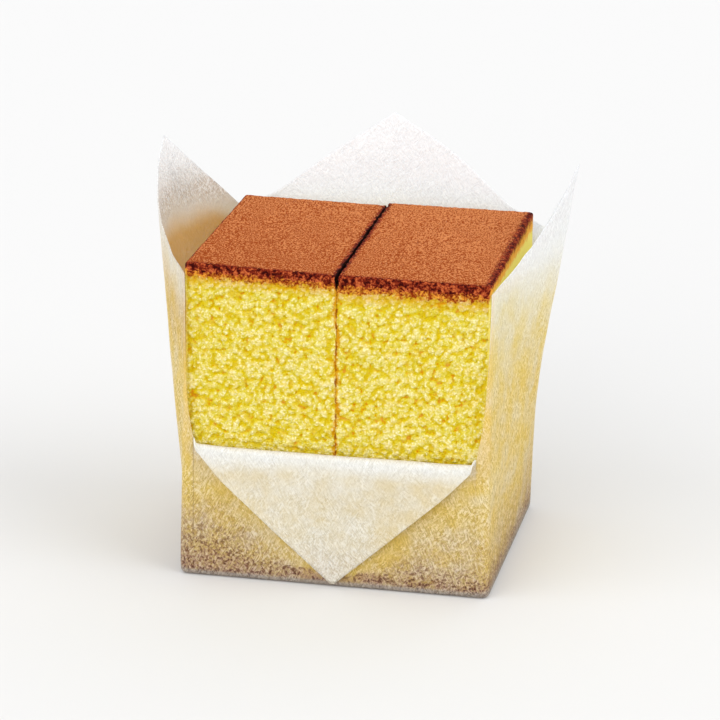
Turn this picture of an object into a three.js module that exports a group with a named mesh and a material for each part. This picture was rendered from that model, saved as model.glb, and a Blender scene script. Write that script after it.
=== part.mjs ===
// Castella sponge cake: two slices that still stand together as one block, seated in the soft
// square sheet of paper that they were wrapped in. The sheet lies corner-wise under the cake: its
// left, right and back corners stand up past the top, and its front corner is folded outwards.
//
// Millimetres, +Z up. The front of the cake faces -Y. The origin is on the underside of the
// paper, below the middle of the cake.

import * as THREE from 'three';
import { mergeVertices } from 'three/addons/utils/BufferGeometryUtils.js';

// ---------------------------------------------------------------- driving dimensions

// The block of cake, both slices together, over its crusts.
const CAKE_WIDTH = 60;
const CAKE_DEPTH = 52;
const CAKE_HEIGHT = 64;

// The knife's cut between the slices: its width, and how far its top edges are pulled open.
const KERF = 0.45;
const KERF_FLARE = 0.22;
const KERF_FLARE_DEPTH = 9;

// How the cake is finished: the radius of its edges, and the height and pitch of its crumb.
const EDGE_RADIUS = 1.1;
const CRUMB_RELIEF = 0.42;
const CRUMB_PITCH = 3.4;
const SAG = 0.35;
const MESH_STEP = 3.4;

// The sheet of paper, and the clear space between it and what lies in it.
const PAPER_THICKNESS = 0.4;
const PAPER_CLEARANCE = 0.9;
const SEAT_GAP = 0.3;
const PAPER_CORNER_RADIUS = 1.5;
const WALL_FLARE = 1.3;

// The front corner of the sheet, folded outwards and hanging down.
const FOLD_HEIGHT = 27.6;
const FOLD_RADIUS = 0.9;
const FLAP_LENGTH = 26.4;
const FLAP_HALF_WIDTH = 28.6;
const FLAP_BULGE = 1.1;
const FOLD_END_X = 28.3;

// Rows of the paper's mesh along a rib: up the wall, round the fold and down the flap.
const WALL_ROWS = 6;
const FOLD_ROWS = 3;
const FLAP_ROWS = 5;
const FLAP_STEPS = 16;

const PAPER_X = CAKE_WIDTH / 2 + PAPER_CLEARANCE + PAPER_THICKNESS / 2;
const PAPER_Y = CAKE_DEPTH / 2 + PAPER_CLEARANCE + PAPER_THICKNESS / 2;
const CAKE_BOTTOM = PAPER_THICKNESS + SEAT_GAP;

// Height of each slice's top above CAKE_HEIGHT at its corners: no slice is cut quite true.
const SLICES = [
  {
    name: 'castella_slice_left',
    side: -1,
    top: { frontOuter: 0.5, frontInner: -0.15, backOuter: 0, backInner: -0.3 },
  },
  {
    name: 'castella_slice_right',
    side: 1,
    top: { frontOuter: -0.2, frontInner: -0.1, backOuter: 0.3, backInner: 0.25 },
  },
];

// The edge of the sheet as it runs round the standing cake, one span for each stretch between
// two of its ribs. base is where the span's first and last ribs leave the floor, rim are the
// points that the sheet's edge passes, and steps is the number of ribs along it.
const TIP_BASE_Y = 8;
const FRONT_BASE_Y = -24;
const LEFT_TIP = [-44.8, 15, 78.4];
const RIGHT_TIP = [40.8, 15, 77.8];
const BACK_TIP = [-1, 38, 80.6];
const BACK_LEFT = [-32.2, 27.6, 61.5];
const BACK_RIGHT = [32.3, 27.6, 60.5];
const FRONT_LEFT = [-31.3, -25.4, 62.4];
const FRONT_RIGHT = [31.3, -25.4, 62.2];
const SPANS = [
  {
    base: [[FOLD_END_X, -PAPER_Y], [PAPER_X, -PAPER_Y], [PAPER_X, FRONT_BASE_Y]],
    rim: [[FOLD_END_X, -27.4, 29], [30.4, -27.7, 37], [31.7, -27.4, 50], FRONT_RIGHT],
    steps: 5,
  },
  {
    base: [[PAPER_X, FRONT_BASE_Y], [PAPER_X, TIP_BASE_Y]],
    rim: [FRONT_RIGHT, [34, -12, 63.2], [37.4, 2, 68], RIGHT_TIP],
    steps: 8,
  },
  {
    base: [[PAPER_X, TIP_BASE_Y], [PAPER_X, PAPER_Y]],
    rim: [RIGHT_TIP, [37.2, 20.6, 70], BACK_RIGHT],
    steps: 5,
  },
  {
    base: [[PAPER_X, PAPER_Y], [0, PAPER_Y]],
    rim: [BACK_RIGHT, [25.2, 30.5, 63.4], [11.4, 35, 73.6], BACK_TIP],
    steps: 8,
  },
  {
    base: [[0, PAPER_Y], [-PAPER_X, PAPER_Y]],
    rim: [BACK_TIP, [-14, 34.5, 71.5], [-26.2, 30.5, 62.8], BACK_LEFT],
    steps: 8,
  },
  {
    base: [[-PAPER_X, PAPER_Y], [-PAPER_X, TIP_BASE_Y]],
    rim: [BACK_LEFT, [-40.4, 18.8, 72.8], LEFT_TIP],
    steps: 5,
  },
  {
    base: [[-PAPER_X, TIP_BASE_Y], [-PAPER_X, FRONT_BASE_Y]],
    rim: [LEFT_TIP, [-42.2, 0, 70.4], [-36.6, -13, 63.8], FRONT_LEFT],
    steps: 8,
  },
  {
    base: [[-PAPER_X, FRONT_BASE_Y], [-PAPER_X, -PAPER_Y], [-FOLD_END_X, -PAPER_Y]],
    rim: [FRONT_LEFT, [-31.7, -27.4, 50], [-30.4, -27.7, 37], [-FOLD_END_X, -27.4, 29]],
    steps: 5,
  },
];

// ---------------------------------------------------------------- crumb

// A repeatable number from 0 to 1 for a point of the whole-number lattice.
function latticeValue(i, j, k) {
  let h = Math.imul(i, 374761393) ^ Math.imul(j, 668265263) ^ Math.imul(k, 1274126177);
  h = Math.imul(h ^ (h >>> 13), 1103515245);
  return ((h ^ (h >>> 16)) >>> 0) / 4294967296;
}

// Smooth noise from -1 to 1: the lattice's values, blended across the cell that holds the point.
function smoothNoise(x, y, z) {
  const cell = [x, y, z].map(Math.floor);
  const fade = [x, y, z].map((value, axis) => THREE.MathUtils.smoothstep(value - cell[axis], 0, 1));
  let sum = 0;
  for (let corner = 0; corner < 8; corner += 1) {
    const step = [corner & 1, (corner >> 1) & 1, (corner >> 2) & 1];
    const weight = step.reduce((w, s, axis) => w * (s ? fade[axis] : 1 - fade[axis]), 1);
    sum += weight * latticeValue(cell[0] + step[0], cell[1] + step[1], cell[2] + step[2]);
  }
  return 2 * sum - 1;
}

// Height of the crumb over the cut face at a point, in millimetres.
function crumbHeight(x, y, z) {
  const fine = smoothNoise(x / CRUMB_PITCH, y / CRUMB_PITCH, z / CRUMB_PITCH);
  const broad = smoothNoise(x / (4 * CRUMB_PITCH), y / (4 * CRUMB_PITCH), z / (4 * CRUMB_PITCH));
  return CRUMB_RELIEF * (0.7 * fine + 0.3 * broad);
}

// Position from -half to half of the grid line at a fraction from 0 to 1: even steps, with one
// line just inside each edge so that the edge can be rounded.
function gridLine(fraction, steps, half) {
  const index = Math.round(fraction * steps);
  if (index === 0) return -half;
  if (index === steps) return half;
  const inner = half - EDGE_RADIUS;
  return -inner + (2 * inner * (index - 1)) / (steps - 2);
}

// Height of a slice's top above CAKE_HEIGHT, blended between its four corners.
function topHeight(top, towardsOuter, towardsBack) {
  const front = THREE.MathUtils.lerp(top.frontInner, top.frontOuter, towardsOuter);
  const back = THREE.MathUtils.lerp(top.backInner, top.backOuter, towardsOuter);
  return THREE.MathUtils.lerp(front, back, towardsBack);
}

// One slice: a box with a rough crumb on its open sides, a top that dips a little in the middle,
// and a smooth cut face towards the other slice. Its edges are rounded, all but the sharp ones
// that the knife left round the cut face.
function sliceGeometry({ side, top }) {
  const width = (CAKE_WIDTH - KERF) / 2;
  const height = CAKE_HEIGHT - CAKE_BOTTOM;
  const size = [width, CAKE_DEPTH, height];
  const steps = size.map((length) => Math.round(length / MESH_STEP) + 1);
  const box = new THREE.BoxGeometry(...size, ...steps);
  box.deleteAttribute('normal');
  box.deleteAttribute('uv');
  const geometry = mergeVertices(box, 1e-4);
  const position = geometry.getAttribute('position');
  const point = new THREE.Vector3();
  const core = new THREE.Vector3();
  const half = new THREE.Vector3(...size).multiplyScalar(0.5);
  const inset = half.clone().subScalar(EDGE_RADIUS);
  const low = inset.clone().negate();
  const high = inset.clone();
  if (side > 0) low.x = -half.x;
  else high.x = half.x;
  for (let i = 0; i < position.count; i += 1) {
    point.fromBufferAttribute(position, i);
    for (let axis = 0; axis < 3; axis += 1) {
      const h = half.getComponent(axis);
      const fraction = point.getComponent(axis) / (2 * h) + 0.5;
      point.setComponent(axis, gridLine(fraction, steps[axis], h));
    }
    const onBottom = point.z <= -half.z + 1e-6;
    const onCut = point.x * side <= -half.x + 1e-6;
    const onTop = point.z >= half.z - 1e-6;
    core.copy(point).clamp(low, high);
    const normal = point.clone().sub(core).normalize();
    point.copy(core).addScaledVector(normal, EDGE_RADIUS);
    const towardsOuter = THREE.MathUtils.clamp((point.x * side) / (2 * half.x) + 0.5, 0, 1);
    const towardsBack = THREE.MathUtils.clamp(point.y / (2 * half.y) + 0.5, 0, 1);
    const up = THREE.MathUtils.clamp(point.z / (2 * half.z) + 0.5, 0, 1);
    if (!onBottom && !onCut) {
      const relief = crumbHeight(point.x + 40 * side, point.y, point.z);
      point.addScaledVector(normal, onTop ? 0.35 * relief : relief);
    }
    if (onCut) {
      const depthBelowTop = half.z - point.z;
      const flare = THREE.MathUtils.smoothstep(KERF_FLARE_DEPTH - depthBelowTop, 0, KERF_FLARE_DEPTH);
      point.x += side * KERF_FLARE * flare;
    }
    const hollow = onTop ? SAG * Math.sin(Math.PI * towardsOuter) * Math.sin(Math.PI * towardsBack) : 0;
    point.z += up * topHeight(top, towardsOuter, towardsBack) - hollow;
    point.x += side * (KERF / 2 + half.x);
    point.z += CAKE_BOTTOM + half.z;
    position.setXYZ(i, point.x, point.y, point.z);
  }
  return geometry;
}

// ---------------------------------------------------------------- paper

// Outward direction in plan at a point of the paper's footprint, a rectangle with rounded
// corners, and the footprint's own point there.
function footprintPoint([x, y]) {
  const inner = new THREE.Vector2(PAPER_X - PAPER_CORNER_RADIUS, PAPER_Y - PAPER_CORNER_RADIUS);
  const point = new THREE.Vector2(x, y);
  const core = point.clone().clamp(inner.clone().negate(), inner);
  const outward = point.clone().sub(core).normalize();
  return { point: core.addScaledVector(outward, PAPER_CORNER_RADIUS), outward };
}

// Point at a fraction of the way along a chain of straight stretches.
function alongChain(points, fraction) {
  const lengths = points.slice(1).map((p, i) => Math.hypot(p[0] - points[i][0], p[1] - points[i][1]));
  const total = lengths.reduce((sum, length) => sum + length, 0);
  let left = fraction * total;
  for (let i = 0; i < lengths.length; i += 1) {
    if (left <= lengths[i] || i === lengths.length - 1) {
      const t = left / lengths[i];
      return points[i].map((value, axis) => THREE.MathUtils.lerp(value, points[i + 1][axis], t));
    }
    left -= lengths[i];
  }
  return points[0];
}

// A rib that stands from the footprint to the sheet's edge, flaring more towards its top. Each
// row gives its middle point and the direction that points out of the sheet's outer face.
function standingRib(base, rim) {
  const { point, outward } = footprintPoint(base);
  const rows = WALL_ROWS + FOLD_ROWS + FLAP_ROWS;
  const rib = [];
  for (let row = 0; row <= rows; row += 1) {
    const t = row / rows;
    const spread = t ** WALL_FLARE;
    const middle = new THREE.Vector3(
      THREE.MathUtils.lerp(point.x, rim.x, spread),
      THREE.MathUtils.lerp(point.y, rim.y, spread),
      THREE.MathUtils.lerp(PAPER_THICKNESS / 2, rim.z, t),
    );
    rib.push({ middle, out: new THREE.Vector3(outward.x, outward.y, 0) });
  }
  return rib;
}

// A rib of the front: up the wall, over a round fold, and down the hanging flap, whose length
// shrinks from the sheet's corner in the middle to nothing at the ends of the fold.
function foldedRib(x) {
  const flap = FLAP_LENGTH * (1 - Math.abs(x) / FLAP_HALF_WIDTH);
  const rib = [];
  const add = (outwards, z, outY, outZ) => {
    rib.push({
      middle: new THREE.Vector3(x, -PAPER_Y - outwards, z),
      out: new THREE.Vector3(0, -outY, outZ),
    });
  };
  const shoulder = FOLD_HEIGHT - FOLD_RADIUS;
  for (let row = 0; row < WALL_ROWS; row += 1) {
    add(0, THREE.MathUtils.lerp(PAPER_THICKNESS / 2, shoulder, row / WALL_ROWS), 1, 0);
  }
  for (let row = 0; row <= FOLD_ROWS; row += 1) {
    const turn = (Math.PI * row) / FOLD_ROWS;
    const outwards = FOLD_RADIUS * (1 - Math.cos(turn));
    add(outwards, shoulder + FOLD_RADIUS * Math.sin(turn), Math.cos(turn), -Math.sin(turn));
  }
  for (let row = 1; row <= FLAP_ROWS; row += 1) {
    const down = (flap * row) / FLAP_ROWS;
    const bulge = FLAP_BULGE * Math.sin((Math.PI * down) / FLAP_LENGTH);
    add(2 * FOLD_RADIUS + bulge, shoulder - down, -1, 0);
  }
  return rib;
}

// All ribs in order round the cake, anticlockwise as seen from above, from the front's left end.
// The folded ribs stand closer together towards the ends of the fold.
function paperRibs() {
  const ribs = [];
  for (let step = 1; step < FLAP_STEPS; step += 1) {
    ribs.push(foldedRib(-FOLD_END_X * Math.cos((Math.PI * step) / FLAP_STEPS)));
  }
  SPANS.forEach((span, index) => {
    const rimPoints = span.rim.map((p) => new THREE.Vector3(...p));
    const curve = new THREE.CatmullRomCurve3(rimPoints, false, 'centripetal');
    const last = index === SPANS.length - 1 ? span.steps : span.steps - 1;
    for (let step = 0; step <= last; step += 1) {
      const fraction = step / span.steps;
      ribs.push(standingRib(alongChain(span.base, fraction), curve.getPoint(fraction)));
    }
  });
  return ribs;
}

// The sheet as a closed thin solid: an outer and an inner skin over the ribs, both split into
// triangles alike, a floor under the cake, and a narrow edge all the way round the rim.
function paperGeometry() {
  const ribs = paperRibs();
  const rows = ribs[0].length;
  const vertices = [0, 0, 0, 0, 0, PAPER_THICKNESS];
  const outer = (rib, row) => 2 + 2 * ((rib % ribs.length) * rows + row);
  const inner = (rib, row) => outer(rib, row) + 1;
  ribs.forEach((rib) => {
    rib.forEach(({ middle, out }, row) => {
      const reach = out.clone().multiplyScalar(PAPER_THICKNESS / 2);
      const down = row === 0 ? PAPER_THICKNESS / 2 : 0;
      vertices.push(middle.x + reach.x, middle.y + reach.y, middle.z + reach.z - down);
      vertices.push(middle.x - reach.x, middle.y - reach.y, middle.z - reach.z + down);
    });
  });
  const faces = [];
  const quad = (a, b, c, d) => faces.push(a, b, c, a, c, d);
  for (let rib = 0; rib < ribs.length; rib += 1) {
    faces.push(0, outer(rib + 1, 0), outer(rib, 0));
    faces.push(1, inner(rib, 0), inner(rib + 1, 0));
    for (let row = 0; row + 1 < rows; row += 1) {
      quad(outer(rib, row), outer(rib + 1, row), outer(rib + 1, row + 1), outer(rib, row + 1));
      faces.push(inner(rib, row), inner(rib + 1, row + 1), inner(rib + 1, row));
      faces.push(inner(rib, row), inner(rib, row + 1), inner(rib + 1, row + 1));
    }
    quad(outer(rib, rows - 1), outer(rib + 1, rows - 1), inner(rib + 1, rows - 1), inner(rib, rows - 1));
  }
  const geometry = new THREE.BufferGeometry();
  geometry.setAttribute('position', new THREE.Float32BufferAttribute(vertices, 3));
  geometry.setIndex(faces);
  return geometry;
}

// ---------------------------------------------------------------- assembly

const crumb = new THREE.MeshStandardMaterial({ color: 0xf0d95c, roughness: 0.9, metalness: 0 });
const paper = new THREE.MeshStandardMaterial({ color: 0xf3efe8, roughness: 0.85, metalness: 0 });

const part = new THREE.Group();
SLICES.forEach((slice) => {
  const mesh = new THREE.Mesh(sliceGeometry(slice), crumb);
  mesh.name = slice.name;
  part.add(mesh);
});
const wrapping = new THREE.Mesh(paperGeometry(), paper);
wrapping.name = 'wrapping_paper';
part.add(wrapping);

export default part;
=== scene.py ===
"""Castella sponge cake: two slices that still stand together, in the sheet of paper that wrapped them.

The sheet lies corner-wise under the cake. Its left, right and back corners stand up past the top, and
its front corner is folded outwards and hangs down as a flap. Each slice has a fine browned top, a dark
rim of crust, an open yellow crumb and a thin brown crust underneath.

Sizes are millimetres in the row frame, and MM turns them into the metres of Blender's meshes.
"""

import logging
import math
from collections.abc import Sequence
from dataclasses import dataclass, field
from enum import Enum, IntEnum
from typing import Any

import bpy
import numpy as np
from mathutils import Matrix, Vector


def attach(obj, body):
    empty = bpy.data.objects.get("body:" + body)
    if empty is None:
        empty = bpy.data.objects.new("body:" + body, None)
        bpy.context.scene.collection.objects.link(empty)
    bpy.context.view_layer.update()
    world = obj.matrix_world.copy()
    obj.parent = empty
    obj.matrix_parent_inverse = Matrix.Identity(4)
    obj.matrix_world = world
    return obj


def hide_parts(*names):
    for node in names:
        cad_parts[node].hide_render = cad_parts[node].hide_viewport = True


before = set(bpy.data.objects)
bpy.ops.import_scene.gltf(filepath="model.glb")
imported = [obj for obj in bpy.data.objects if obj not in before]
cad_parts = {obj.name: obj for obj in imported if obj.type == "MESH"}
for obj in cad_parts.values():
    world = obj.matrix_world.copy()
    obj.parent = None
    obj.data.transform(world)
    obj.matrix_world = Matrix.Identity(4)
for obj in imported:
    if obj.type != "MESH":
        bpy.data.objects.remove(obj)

LOG = logging.getLogger("castella")
MM = 0.001
TINY = 1e-9

Colour = tuple[float, float, float]
Rise = tuple[float, float]


class Side(Enum):
    """Which slice of the block, by the side of the cut that it stands on."""

    LEFT = -1
    RIGHT = 1


class Seed(IntEnum):
    """Which pattern of noise a surface takes."""

    SWELL = 0
    LARGE_GRAINS = 11
    SMALL_GRAINS = 23
    LOOSE_CRUMB = 31
    OPEN_CUT = 43
    CUT_LINE = 47
    LONG_WAVE = 51
    SHORT_WAVE = 57
    SOAK = 61
    STAIN = 67
    BAND = 73
    PATCHES = 79


class Stretch(Enum):
    """How the ribs of a stretch of the sheet are spaced beside the fold at the front."""

    LEAVES_FOLD = 1
    FREE = 0
    MEETS_FOLD = -1


# ---------------------------------------------------------------- noise on whole arrays


def lattice_value(cells: np.ndarray, seed: int) -> np.ndarray:
    """Gives each whole-number cell a repeatable number, by mixing its three numbers bit by bit.

    Args:
        cells: Whole numbers, three to a row.
        seed: Picks another set of numbers.

    Returns:
        One number from 0 to 1 for each row.
    """
    mask = 0xFFFFFFFF
    i, j, k = (cells[..., axis].astype(np.int64) for axis in range(3))
    mixed = (i * 374761393 ^ j * 668265263 ^ k * 1274126177 ^ seed * 2246822519) & mask
    mixed = ((mixed ^ (mixed >> 13)) * 1103515245) & mask
    return (mixed ^ (mixed >> 16)) / (mask + 1.0)


def ease(value: np.ndarray, start: float, end: float) -> np.ndarray:
    """Rises smoothly from 0 where value is start to 1 where it is end: 3 t squared - 2 t cubed."""
    t = np.clip((value - start) / (end - start), 0.0, 1.0)
    return t * t * (3.0 - 2.0 * t)


def smooth_noise(points: np.ndarray, pitch: float | Sequence[float], seed: int) -> np.ndarray:
    """Blends the lattice's numbers across the cell that holds each point.

    Args:
        points: Places in millimetres, three to a row.
        pitch: Size of a cell, one for all axes or one for each.
        seed: Picks another pattern.

    Returns:
        Noise from -1 to 1 for each row.
    """
    scaled = points / np.asarray(pitch, float)
    cell = np.floor(scaled).astype(np.int64)
    fade = ease(scaled - cell, 0.0, 1.0)
    total = np.zeros(scaled.shape[:-1])
    for corner in np.ndindex(2, 2, 2):
        step = np.array(corner)
        weight = np.where(step == 1, fade, 1.0 - fade).prod(axis=-1)
        total += weight * lattice_value(cell + step, seed)
    return 2.0 * total - 1.0


def ball_relief(points: np.ndarray, pitch: float, radii: tuple[float, float], seed: int) -> np.ndarray:
    """Height over a cut through packed balls, one ball in each cell of a jittered lattice.

    The height is the largest of the square roots of 1 - (distance from a ball's centre / its radius)
    squared, and 0 where the cut meets no ball.

    Args:
        points: Places in millimetres, three to a row.
        pitch: Size of a cell in millimetres.
        radii: Smallest and largest radius of a ball, as shares of the pitch.
        seed: Picks another packing.

    Returns:
        Height from 0 to 1 for each row.
    """
    scaled = points / pitch
    cell = np.floor(scaled).astype(np.int64)
    height = np.zeros(len(points))
    for corner in np.ndindex(3, 3, 3):
        near = cell + np.array(corner) - 1
        centre = near + np.stack([lattice_value(near, seed + axis) for axis in (1, 2, 3)], axis=-1)
        radius = radii[0] + (radii[1] - radii[0]) * lattice_value(near, seed + 4)
        inside = np.clip(1.0 - ((scaled - centre) ** 2).sum(axis=-1) / radius**2, 0.0, 1.0)
        height = np.maximum(height, np.sqrt(inside))
    return height


# ---------------------------------------------------------------- meshes from arrays


def mesh_object(name: str, points: np.ndarray, faces: list[np.ndarray]) -> bpy.types.Object:
    """Makes a smooth-shaded object from arrays, with its place in its mesh.

    Args:
        name: Name of the object and of its mesh.
        points: Vertices in millimetres, three to a row.
        faces: Arrays of vertex numbers, one face to a row, each array with faces of one size.

    Returns:
        The new object, at the origin of the scene.
    """
    mesh = bpy.data.meshes.new(name)
    corners = np.concatenate([block.ravel() for block in faces])
    sizes = np.concatenate([np.full(len(block), block.shape[1]) for block in faces])
    mesh.vertices.add(len(points))
    mesh.vertices.foreach_set("co", (points * MM).astype(np.float32).ravel())
    mesh.loops.add(len(corners))
    mesh.loops.foreach_set("vertex_index", corners.astype(np.int32))
    mesh.polygons.add(len(sizes))
    mesh.polygons.foreach_set("loop_start", (np.cumsum(sizes) - sizes).astype(np.int32))
    mesh.polygons.foreach_set("use_smooth", np.ones(len(sizes), bool))
    mesh.update(calc_edges=True)
    mesh.validate()
    piece = bpy.data.objects.new(name, mesh)
    bpy.context.scene.collection.objects.link(piece)
    return piece


def store(piece: bpy.types.Object, name: str, values: np.ndarray) -> None:
    """Keeps one number for each vertex of a piece, for its material to read."""
    attribute = piece.data.attributes.new(name, "FLOAT", "POINT")
    attribute.data.foreach_set("value", values.astype(np.float32))


def store_places(piece: bpy.types.Object, name: str, places: np.ndarray) -> None:
    """Keeps one place in metres for each corner of each face, for the piece's material to read."""
    attribute = piece.data.attributes.new(name, "FLOAT_VECTOR", "CORNER")
    attribute.data.foreach_set("vector", places.astype(np.float32).ravel())


def grid_quads(index: np.ndarray) -> np.ndarray:
    """Quads over a two-way grid of vertex numbers, turned so that (first x second) points out."""
    near, far = index[:-1], index[1:]
    return np.stack([near[:, :-1], far[:, :-1], far[:, 1:], near[:, 1:]], axis=-1).reshape(-1, 4)


def box_shell(lines: Sequence[np.ndarray]) -> tuple[np.ndarray, np.ndarray]:
    """The closed surface of a box, ruled by given lines along each axis.

    Every crossing of the lines that lies on the surface is one vertex, and each of the six faces is a
    grid of quads that share the vertices of the edges.

    Args:
        lines: Places of the lines along x, y and z, in rising order.

    Returns:
        The vertices, three numbers to a row, and the quads with their faces pointing out.
    """
    on_surface = np.ones([len(places) for places in lines], bool)
    on_surface[1:-1, 1:-1, 1:-1] = False
    index = np.cumsum(on_surface).reshape(on_surface.shape) - 1
    crossings = np.nonzero(on_surface)
    points = np.stack([places[at] for places, at in zip(lines, crossings)], axis=-1)
    outward = [index[:, :, -1], index[-1], index[:, 0]]
    inward = [index[:, :, 0], index[0], index[:, -1]]
    quads = [grid_quads(sheet) for sheet in outward] + [grid_quads(sheet)[:, ::-1] for sheet in inward]
    return points, np.concatenate(quads)


def ruled(*runs: tuple[float, float, int]) -> np.ndarray:
    """Places of lines over runs given as start, end and number of equal steps, each run to the next."""
    starts = [np.linspace(start, end, steps, endpoint=False) for start, end, steps in runs]
    return np.concatenate([*starts, [runs[-1][1]]])


# ---------------------------------------------------------------- shader graphs


class Signal:
    """A shader socket's number, with Python's arithmetic adding the Math nodes."""

    def __init__(self, graph: "Graph", socket: bpy.types.NodeSocket) -> None:
        """Wraps the output socket of a node in graph."""
        self.graph = graph
        self.socket = socket

    def _math(self, operation: str, *values: Any) -> "Signal":
        """Adds one Math node for an operation on values."""
        return self.graph.node("ShaderNodeMath", {"operation": operation}, dict(enumerate(values)))

    def __add__(self, other: Any) -> "Signal":
        """self + other."""
        return self._math("ADD", self, other)

    def __sub__(self, other: Any) -> "Signal":
        """self - other."""
        return self._math("SUBTRACT", self, other)

    def __rsub__(self, other: Any) -> "Signal":
        """other - self."""
        return self._math("SUBTRACT", other, self)

    def __mul__(self, other: Any) -> "Signal":
        """self * other."""
        return self._math("MULTIPLY", self, other)

    __radd__ = __add__
    __rmul__ = __mul__

    def step(self, start: float, end: float, low: float = 0.0, high: float = 1.0) -> "Signal":
        """Goes smoothly from low where self is start to high where it is end."""
        inputs = {"Value": self, "From Min": start, "From Max": end, "To Min": low, "To Max": high}
        return self.graph.node("ShaderNodeMapRange", {"interpolation_type": "SMOOTHSTEP"}, inputs)


class Graph:
    """The node tree of one material, filled by methods that return signals."""

    def __init__(self, name: str) -> None:
        """Starts an empty material.

        Args:
            name: Name of the material.
        """
        self.material = bpy.data.materials.new(name)
        self.material.use_nodes = True
        self.tree = self.material.node_tree
        self.tree.nodes.clear()

    def node(self, kind: str, settings: dict[str, Any], inputs: dict[Any, Any], output: Any = 0) -> Signal:
        """Adds a node, sets it up and then feeds its sockets.

        Args:
            kind: Blender's name of the node's type.
            settings: Properties of the node. "stops" holds a ramp's places and colours.
            inputs: Values or signals by the name or number of the socket.
            output: Name or number of the socket that is returned.

        Returns:
            The chosen output as a signal.
        """
        added = self.tree.nodes.new(kind)
        stops = settings.get("stops")
        for key in [key for key in settings if key != "stops"]:
            setattr(added, key, settings[key])
        for number, (place, colour) in enumerate(stops or ()):
            elements = added.color_ramp.elements
            element = elements[number] if number < len(elements) else elements.new(place)
            element.position = place
            element.color = (*colour, 1.0)
        for key, value in inputs.items():
            if isinstance(value, Signal):
                self.tree.links.new(value.socket, added.inputs[key])
            else:
                added.inputs[key].default_value = value
        return Signal(self, added.outputs[output])

    def place(self) -> Signal:
        """The place on the piece, in metres of the row frame."""
        return self.node("ShaderNodeTexCoord", {}, {}, "Object")

    def attribute(self, name: str, output: str = "Fac") -> Signal:
        """The number that the mesh keeps under that name or, with "Vector" as the output, the place."""
        return self.node("ShaderNodeAttribute", {"attribute_name": name}, {}, output)

    def scaled(
        self,
        where: Signal,
        pitch: float,
        stretch: Colour = (1, 1, 1),
        shift: float = 0.0,
        lean: Colour = (0, 0, 0),
    ) -> Signal:
        """The place counted in features of a pattern.

        Args:
            where: Place on the piece in metres.
            pitch: Size of the features in millimetres.
            stretch: How many times longer the features are along x, y and z.
            shift: How far the pattern is moved along each axis, in metres.
            lean: Angles by which the stretched pattern is turned, in radians.

        Returns:
            The place as a vector.
        """
        scale = tuple(pitch * MM * longer for longer in stretch)
        inputs = {"Vector": where, "Location": (shift, shift, shift), "Rotation": lean, "Scale": scale}
        return self.node("ShaderNodeMapping", {"vector_type": "TEXTURE"}, inputs)

    def dot(self, where: Signal, slope: Colour) -> Signal:
        """A number that rises across the piece by slope for each metre along x, y and z."""
        settings = {"operation": "DOT_PRODUCT"}
        return self.node("ShaderNodeVectorMath", settings, {0: where, 1: slope}, "Value")

    def balls(self, where: Signal, pitch: float, **turned: Any) -> Signal:
        """Height of packed round beads of that pitch in millimetres: 1 less the distance to the nearest."""
        inputs = {"Vector": self.scaled(where, pitch, **turned), "Scale": 1.0}
        return 1.0 - self.node("ShaderNodeTexVoronoi", {}, inputs, "Distance")

    def noise(
        self,
        where: Signal,
        pitch: float,
        detail: float = 2.0,
        twist: float = 0.0,
        **turned: Any,
    ) -> Signal:
        """Cloudy noise around 0.5.

        Args:
            where: Place on the piece in metres.
            pitch: Size of its largest features in millimetres.
            detail: Number of finer layers on top.
            twist: How far the pattern is swirled.
            turned: Stretch, shift and lean of the pattern, as scaled takes them.

        Returns:
            A signal from about 0.2 to 0.8.
        """
        inputs = {"Vector": self.scaled(where, pitch, **turned), "Scale": 1.0, "Detail": detail}
        inputs |= {"Roughness": 0.6, "Distortion": twist}
        return self.node("ShaderNodeTexNoise", {}, inputs, 0)

    def ramp(self, value: Signal, stops: Sequence[tuple[float, Colour]]) -> Signal:
        """A colour picked by value from places and colours along a ramp."""
        return self.node("ShaderNodeValToRGB", {"stops": stops}, {0: value}, 0)

    def blend(self, amount: Signal, first: Signal | Colour, second: Signal | Colour) -> Signal:
        """Mixes two colours.

        Args:
            amount: How much of the second colour shows, from 0 to 1.
            first: The first colour.
            second: The second colour.

        Returns:
            The mixed colour.
        """
        colours = [c if isinstance(c, Signal) else (*c, 1.0) for c in (first, second)]
        settings = {"data_type": "RGBA", "clamp_factor": True}
        return self.node("ShaderNodeMix", settings, {0: amount, 6: colours[0], 7: colours[1]}, 2)

    def layered(self, colour: Signal | Colour, layers: Sequence[tuple[Signal, Colour]]) -> Signal:
        """Lays colours over a colour, one after another.

        Args:
            colour: The colour underneath.
            layers: How much of each further colour shows, from 0 to 1, and that colour.

        Returns:
            The colour on top.
        """
        for amount, tint in layers:
            colour = self.blend(amount, colour, tint)
        return colour

    def bump(self, height: Signal, depth: float, under: Signal | None = None) -> Signal:
        """Turns a height from 0 to 1 into a bent normal.

        Args:
            height: The height.
            depth: How high a height of 1 stands, in millimetres.
            under: A normal that this one is laid over.

        Returns:
            The bent normal.
        """
        inputs = {"Height": height, "Distance": depth * MM, "Strength": 1.0}
        if under is not None:
            inputs["Normal"] = under
        return self.node("ShaderNodeBump", {}, inputs)

    def surface(self, inputs: dict[str, Any]) -> Signal:
        """A Principled shader with those sockets set."""
        return self.node("ShaderNodeBsdfPrincipled", {}, inputs)

    def translucent(self, colour: Colour, normal: Signal) -> Signal:
        """A shader of one colour for light that comes through from behind."""
        return self.node("ShaderNodeBsdfTranslucent", {}, {"Color": (*colour, 1.0), "Normal": normal})

    def join(self, amount: Signal, first: Signal, second: Signal) -> Signal:
        """Mixes two shaders, first where amount is 0 and second where it is 1."""
        return self.node("ShaderNodeMixShader", {}, {0: amount, 1: first, 2: second})

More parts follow.
